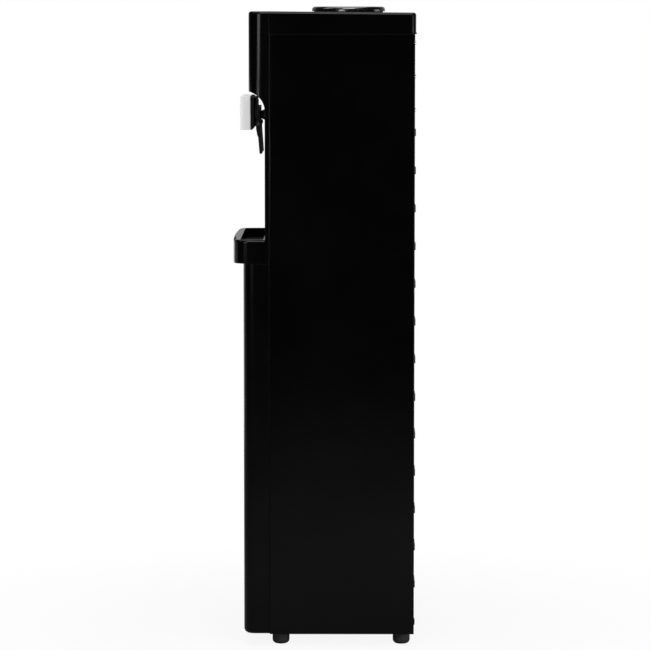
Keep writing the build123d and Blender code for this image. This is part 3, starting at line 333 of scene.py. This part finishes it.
DEEP_BLACK = (0.0003, 0.0003, 0.0004), (0.0009, 0.0009, 0.001), (0.004, 0.004, 0.0042)
ENAMEL_BLACK = (0.006, 0.006, 0.006), (0.013, 0.0128, 0.0122), (0.06, 0.058, 0.055)
GRILLE_BLACK = (0.0015, 0.0015, 0.0015), (0.003, 0.003, 0.003), (0.012, 0.012, 0.012)
TAP_BLACK = (0.0008, 0.0008, 0.0009), (0.002, 0.002, 0.002), (0.012, 0.012, 0.0125)
SWITCH_BLACK = (0.005, 0.005, 0.005), (0.01, 0.01, 0.01), (0.04, 0.04, 0.04)
COLD_BLUE = (0.012, 0.09, 0.42), (0.02, 0.13, 0.52), (0.2, 0.35, 0.65)
HOT_RED = (0.42, 0.014, 0.012), (0.52, 0.025, 0.02), (0.65, 0.2, 0.18)

paint = coated_steel("black_paint", DEEP_BLACK, roughness=0.15, specular=0.08)
enamel = coated_steel("condenser_enamel", ENAMEL_BLACK, roughness=0.5, specular=0.4,
                      peel=0.00006, edge=0.0008)
satin = moulding("satin_moulding", DEEP_BLACK, roughness=0.16, specular=0.075)
gloss = moulding("gloss_moulding", DEEP_BLACK, roughness=0.18, specular=0.9)
mark_tones = {
    "cold": moulding("mark_blue", COLD_BLUE, roughness=0.2, specular=0.5),
    "hot": moulding("mark_red", HOT_RED, roughness=0.2, specular=0.5),
}
finishes = {
    "painted_steel": paint,
    "zinc_steel": zinc_plate(),
    "black_moulding": moulding("black_moulding", DEEP_BLACK, roughness=0.12, specular=0.13),
    "grille_black": moulding("grille_black", GRILLE_BLACK, roughness=0.45, specular=0.3),
    "silver_trim": silver_paint(),
    "tap_black": moulding("tap_black", TAP_BLACK, roughness=0.28, specular=0.11, grain=2200.0),
    "switch_black": moulding("switch_black", SWITCH_BLACK, roughness=0.3, specular=0.5),
    "white_plastic": white_plastic(),
    "lens_clear": lens_milk(),
    "foot_rubber": rubber(),
    "silicone_hose": silicone(),
    "stainless": brushed_steel(),
    "copper": dull_copper(),
    "foam": bead_foam(),
}
own_finishes = {
    "condenser_tube": enamel,
    "condenser_wires": enamel,
    "condenser_clamps": enamel,
    "compressor": enamel,
    "cold_lever_pin": enamel,
    "hot_lever_pin": enamel,
    "lower_front_panel": satin,
    "bottle_collar": gloss,
}
for part in frame["record"]["subparts"]:
    name = part["node"]
    slots = nodes[name].data.materials
    slots.clear()
    slots.append(own_finishes.get(name, finishes[part["material_slot"]]))


# Small fittings that the solids leave out
def show(name, data):
    thing = bpy.data.objects.new(name, data)
    bpy.context.scene.collection.objects.link(thing)
    return thing


def new_piece(name, build, material, body):
    bmesh.ops.recalc_face_normals(build, faces=build.faces)
    mesh = bpy.data.meshes.new(name)
    build.to_mesh(mesh)
    build.free()
    mesh.materials.append(material)
    piece = show(name, mesh)
    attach(piece, body)
    return piece


def facing(at, direction):
    """A place whose Z axis points in a direction."""
    turn = Vector(direction).to_track_quat("Z", "Y").to_matrix().to_4x4()
    return Matrix.Translation(at) @ turn


def corner(build, place, x, y, z):
    """A vertex from millimetres in a place."""
    return build.verts.new(place @ (Vector((x, y, z)) * MM))


def ring_pairs(ring):
    return zip(ring, ring[1:] + ring[:1])


def lathe(build, profile, place, segments=24):
    """Turns (radius, height) pairs, in millimetres, about the Z axis of a place."""
    rings = []
    for radius, height in profile:
        count = segments if radius else 1
        turns = [2.0 * math.pi * step / count for step in range(count)]
        rings.append([corner(build, place, radius * math.cos(a), radius * math.sin(a), height)
                      for a in turns])
    for first, second in zip(rings, rings[1:]):
        for step in range(segments):
            after = step + 1
            corners = (first[step % len(first)], first[after % len(first)],
                       second[after % len(second)], second[step % len(second)])
            face = build.faces.new(dict.fromkeys(corners))
            face.smooth = True
    return rings


def cross_screw(build, place):
    """A pan head with a tapered cross recess, in millimetres."""
    head = [(3.2, -0.2), (3.2, 0.45), (3.0, 0.9), (2.5, 1.25), (1.95, 1.4)]
    arm, half_width, floor_height, taper = 1.55, 0.4, 0.5, 0.7
    rim = lathe(build, head, place)[-1]
    top_height = head[-1][1]
    quarter = [(arm, -half_width), (arm, half_width), (half_width, half_width)]
    cross = [Matrix.Rotation(math.pi / 2 * turn, 2) @ Vector(point)
             for turn in range(4) for point in quarter]
    top = [corner(build, place, x, y, top_height) for x, y in cross]
    floor = [corner(build, place, taper * x, taper * y, floor_height) for x, y in cross]
    edges = [build.edges.new(pair) for pair in ring_pairs(top)]
    edges += [build.edges.get(pair) for pair in ring_pairs(rim)]
    bmesh.ops.triangle_fill(build, use_beauty=True, edges=edges)
    for step in range(len(top)):
        build.faces.new((top[step - 1], top[step], floor[step], floor[step - 1]))
    build.faces.new(floor)


def spring_clip(build, place):
    """A band round a hose, with two ears to squeeze, in millimetres."""
    inner, outer, rounded, half_width, half_flat = 4.55, 5.4, 5.2, 2.6, 2.2
    band = [(inner, -half_width), (rounded, -half_width), (outer, -half_flat),
            (outer, half_flat), (rounded, half_width), (inner, half_width),
            (inner, -half_width)]
    ear_middle, ear_length, ear_thickness, ear_width = 7.2, 4.2, 0.8, 3.6
    root_spread, flare = 1.3, 1.2
    lathe(build, band, place)
    for side in (-1.0, 1.0):
        ear = bmesh.ops.create_cube(build, size=1.0)["verts"]
        for vert in ear:
            x, y, z = vert.co
            spread = root_spread + (flare if x > 0 else 0.0)
            vert.co = place @ (Vector((ear_middle + ear_length * x,
                                       side * spread + ear_thickness * y,
                                       ear_width * z)) * MM)


def edge_clip(build, place):
    """A pressed clip, 10 mm high, with chamfered edges and the dome of its rivet."""
    profile = [(-5.0, -0.2), (-5.0, 0.5), (-4.2, 1.2), (4.2, 1.2), (5.0, 0.5), (5.0, -0.2)]
    stations = [(-7.0, 0.8), (-6.0, 1.0), (6.0, 1.0), (7.0, 0.8)]
    rivet = [(2.2, 1.1), (2.2, 1.25), (1.7, 1.45), (0.9, 1.5), (0.0, 1.5)]
    rows = [[corner(build, place, x, up * reach, out) for up, out in profile]
            for x, reach in stations]
    for first, second in zip(rows, rows[1:]):
        for step in range(len(profile)):
            build.faces.new((first[step - 1], first[step], second[step], second[step - 1]))
    build.faces.new(rows[0])
    build.faces.new(rows[-1])
    lathe(build, rivet, place, segments=16)


CLIP_ABOVE_EDGE = 0.019  # over the lower edge of the side panels
SCREW_RADIUS = 0.0032
TUBE_PASSES, WIRES = 13, 18
WIRE_RADIUS, WIRE_OVERHANG = 0.0008, 0.008
WELD = [(0.0, -1.5), (0.9, -1.1), (1.25, 0.0), (0.9, 1.1), (0.0, 1.5)]
LENS_RADIUS = 0.0025
RING_SETBACK = 0.0003  # behind the fronts of the lenses
LENS_RING = [(2.7, -0.6), (2.7, 0.0), (2.95, 0.25), (3.35, 0.2), (3.6, -0.1), (3.6, -0.6)]
HOSE_RADIUS = 0.0045
CLIP_FROM_END = 0.005
TAP_MARK = [(4.0, -0.3), (4.0, 0.1), (3.7, 0.35), (3.3, 0.35),
            (3.1, 0.15), (2.3, 0.42), (1.2, 0.6), (0.0, 0.65)]
TAP_MARK_DROP = 0.014  # under the top of the tap cover
SWITCH_MARK = [(1.9, -0.3), (1.9, 0.08), (1.7, 0.2), (0.9, 0.3), (0.0, 0.34)]
SWITCH_MARK_DROP = 0.0045  # under the top of the rocker
RAY_START = 0.02  # behind the rocker

steel = finishes["zinc_steel"]
build = bmesh.new()
for name in ("left_side_panel", "right_side_panel"):
    low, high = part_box(name)
    middle = (low.x + high.x) / 2
    edge_clip(build, facing((middle, high.y, low.z + CLIP_ABOVE_EDGE), BACKWARD))
new_piece("base_clips", build, paint, "cabinet")

low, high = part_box("panel_screws")
build = bmesh.new()
for x in (low.x + SCREW_RADIUS, high.x - SCREW_RADIUS):
    for z in (low.z + SCREW_RADIUS, (low.z + high.z) / 2, high.z - SCREW_RADIUS):
        cross_screw(build, facing((x, low.y, z), BACKWARD))
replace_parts(new_piece("cross_screws", build, steel, "cabinet"), "panel_screws")

low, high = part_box("condenser_wires")
build = bmesh.new()
row_span = high.z - low.z - 2 * WIRE_OVERHANG
column_span = high.x - low.x - 2 * WIRE_RADIUS
for row in range(TUBE_PASSES):
    z = low.z + WIRE_OVERHANG + row * row_span / (TUBE_PASSES - 1)
    for column in range(WIRES):
        x = low.x + WIRE_RADIUS + column * column_span / (WIRES - 1)
        lathe(build, WELD, facing((x, high.y, z), BACKWARD), segments=8)
new_piece("condenser_welds", build, enamel, "cabinet")

low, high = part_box("indicator_lenses")
build = bmesh.new()
for x in (low.x + LENS_RADIUS, (low.x + high.x) / 2, high.x - LENS_RADIUS):
    lathe(build, LENS_RING, facing((x, low.y + RING_SETBACK, (low.z + high.z) / 2), FORWARD))
new_piece("lens_rings", build, finishes["silver_trim"], "cabinet")

build = bmesh.new()
low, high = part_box("feed_hose")
middle = (low.x + high.x) / 2
spring_clip(build, facing((middle, low.y + HOSE_RADIUS, high.z - CLIP_FROM_END), UP))
low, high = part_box("drain_hose")
middle = (low.x + high.x) / 2
spring_clip(build, facing((middle, low.y + HOSE_RADIUS, high.z - CLIP_FROM_END), UP))
spring_clip(build, facing((middle, high.y - CLIP_FROM_END, low.z + HOSE_RADIUS), BACKWARD))
for name in ("cold_hose", "hot_hose"):
    low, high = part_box(name)
    middle = (low.x + high.x) / 2
    spring_clip(build, facing((middle, low.y + CLIP_FROM_END, high.z - HOSE_RADIUS), BACKWARD))
new_piece("hose_clips", build, steel, "cabinet")

for name, tone in mark_tones.items():
    low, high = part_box(f"{name}_tap_cover")
    middle = (low.x + high.x) / 2
    build = bmesh.new()
    place = facing((middle, low.y, high.z - TAP_MARK_DROP), FORWARD)
    lathe(build, TAP_MARK, place, segments=32)
    new_piece(f"{name}_tap_mark", build, tone, "cabinet")
    low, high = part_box(f"{name}_switch")
    start = Vector(((low.x + high.x) / 2, high.y + RAY_START, high.z - SWITCH_MARK_DROP))
    _, spot, normal, _ = nodes[f"{name}_switch"].ray_cast(start, FORWARD)
    build = bmesh.new()
    lathe(build, SWITCH_MARK, facing(spot, normal))
    new_piece(f"{name}_switch_mark", build, tone, f"{name}_rocker")

# Stage: pale floor, soft studio light, white background
FLOOR_RADIUS = 3.1
FLOOR_COLOUR = (0.6, 0.6, 0.6, 1.0)
FLOOR_SHADE = (0.9, 1.0)  # share of white, beside the object and far from it
SHADE_SPAN = (0.2, 0.9)  # distance from the middle, in metres
FLOOR_SHEEN = (0.0, 0.38)  # share of white in reflections
SHEEN_SPAN = (SHADE_SPAN[1], FLOOR_RADIUS)
ROOM_STRENGTH = 0.03
ROOM_SHEEN = (0.0, 0.4)  # share of white in reflections of the side behind the object
ROOM_SHEEN_SPAN = (-0.55, -0.9)  # X of the direction

floor_mesh = bpy.data.meshes.new("floor")
build = bmesh.new()
bmesh.ops.create_circle(build, cap_ends=True, segments=96, radius=FLOOR_RADIUS)
build.to_mesh(floor_mesh)
build.free()
floor = show("floor", floor_mesh)
floor_paint = bpy.data.materials.new("floor_paint")
floor_paint.use_nodes = True
floor_mesh.materials.append(floor_paint)
g = Graph(floor_paint.node_tree)
g.tree.nodes.clear()
distance = g.measure("LENGTH", g.put("ShaderNodeTexCoord", "Object"))
# The floor's white glow is weaker beside the object, which paints shade around it. The diffuse
# share there also shows the real shadow.
shade = g.span(distance, SHADE_SPAN, FLOOR_SHADE, "SMOOTHSTEP")
shade = g.math("MULTIPLY", shade, g.seen_by("Is Camera Ray", "Is Transmission Ray"))
sheen = g.math("MULTIPLY", g.span(distance, SHEEN_SPAN, FLOOR_SHEEN), g.seen_by("Is Glossy Ray"))
matt = g.put("ShaderNodeBsdfDiffuse", 0, Color=FLOOR_COLOUR)
glow = g.put("ShaderNodeEmission", 0, Color=WHITE, Strength=1.0)
g.surface("ShaderNodeOutputMaterial", g.math("MAXIMUM", shade, sheen), matt, glow)

world = bpy.data.worlds.new("studio")
bpy.context.scene.world = world
world.use_nodes = True
g = Graph(world.node_tree)
g.tree.nodes.clear()
direction = g.put("ShaderNodeTexCoord", "Generated")
across = g.put("ShaderNodeSeparateXYZ", "X", Vector=direction)
sheen = g.span(across, ROOM_SHEEN_SPAN, ROOM_SHEEN)
sheen = g.math("MULTIPLY", sheen, g.seen_by("Is Glossy Ray"))
seen = g.seen_by("Is Camera Ray", "Is Transmission Ray")
room = g.put("ShaderNodeBackground", 0, Color=WHITE, Strength=ROOM_STRENGTH)
backdrop = g.put("ShaderNodeBackground", 0, Color=WHITE, Strength=1.0)
g.surface("ShaderNodeOutputWorld", g.math("MAXIMUM", seen, sheen), room, backdrop)


def softbox(name, at, aim, width, height, power):
    data = bpy.data.lights.new(name, "AREA")
    data.shape = "RECTANGLE"
    data.size = width
    data.size_y = height
    data.energy = power
    lamp = show(name, data)
    lamp.location = at
    lamp.rotation_mode = "QUATERNION"
    lamp.rotation_quaternion = (Vector(aim) - Vector(at)).to_track_quat("-Z", "Y")


# Name, place, aim, width, height and power, in metres and watts. The key makes the streak on the
# hood's corner. The other boxes beside the object stay low, so that its top doesn't mirror them.
SOFTBOXES = (
    ("key", (1.57, -0.6, 0.98), (0.0, -0.05, 0.98), 0.46, 0.3, 3.4),
    ("tap_light", (1.5, -0.75, 0.68), (0.0, -0.1, 0.75), 0.6, 0.1, 5.4),
    ("right", (1.55, 1.15, 0.48), (0.0, 0.0, 0.48), 1.0, 0.85, 22.0),
    ("front", (0.15, -1.5, 2.4), (0.0, 0.0, 0.8), 0.8, 1.0, 8.0),
    ("side_top", (1.5, 0.1, 2.5), (0.0, 0.0, 0.8), 1.2, 1.2, 36.0),
    ("top", (0.0, 0.0, 2.6), (0.0, 0.0, 0.0), 1.8, 1.8, 32.0),
    ("far_front", (-1.5, -1.4, 0.42), (0.0, 0.0, 0.42), 0.9, 0.75, 4.5),
    ("far_rear", (-1.5, 1.5, 0.46), (0.0, 0.0, 0.46), 0.9, 0.85, 5.5),
    ("low_front", (-0.35, -2.0, 0.4), (0.0, 0.0, 0.4), 0.7, 0.7, 1.4),
    ("low_left", (-2.0, 0.35, 0.34), (0.0, 0.0, 0.34), 0.8, 0.54, 5.0),
    ("low_rear", (-0.45, 2.1, 0.6), (0.0, 0.0, 0.6), 0.8, 1.1, 6.0),
    ("low_right", (1.4, 1.6, 0.4), (0.0, 0.0, 0.4), 0.7, 0.7, 2.0),
)
for box in SOFTBOXES:
    softbox(*box)

# Camera at the photograph's angle
CAMERA_PLACE = (5.0, 0.0319, 0.9566)
LENS, SENSOR = 179.64, 36.0  # in millimetres
YAW, PITCH = math.radians(-0.355), math.radians(5.485)

camera_data = bpy.data.cameras.new("camera")
camera_data.sensor_width = SENSOR
camera_data.lens = LENS
camera = show("camera", camera_data)
camera.location = CAMERA_PLACE
look = Vector((-math.cos(YAW) * math.cos(PITCH), math.sin(YAW) * math.cos(PITCH),
               -math.sin(PITCH)))
camera.rotation_mode = "QUATERNION"
camera.rotation_quaternion = look.to_track_quat("-Z", "Y")
bpy.context.scene.camera = camera
bpy.context.scene.view_settings.view_transform = "Standard"
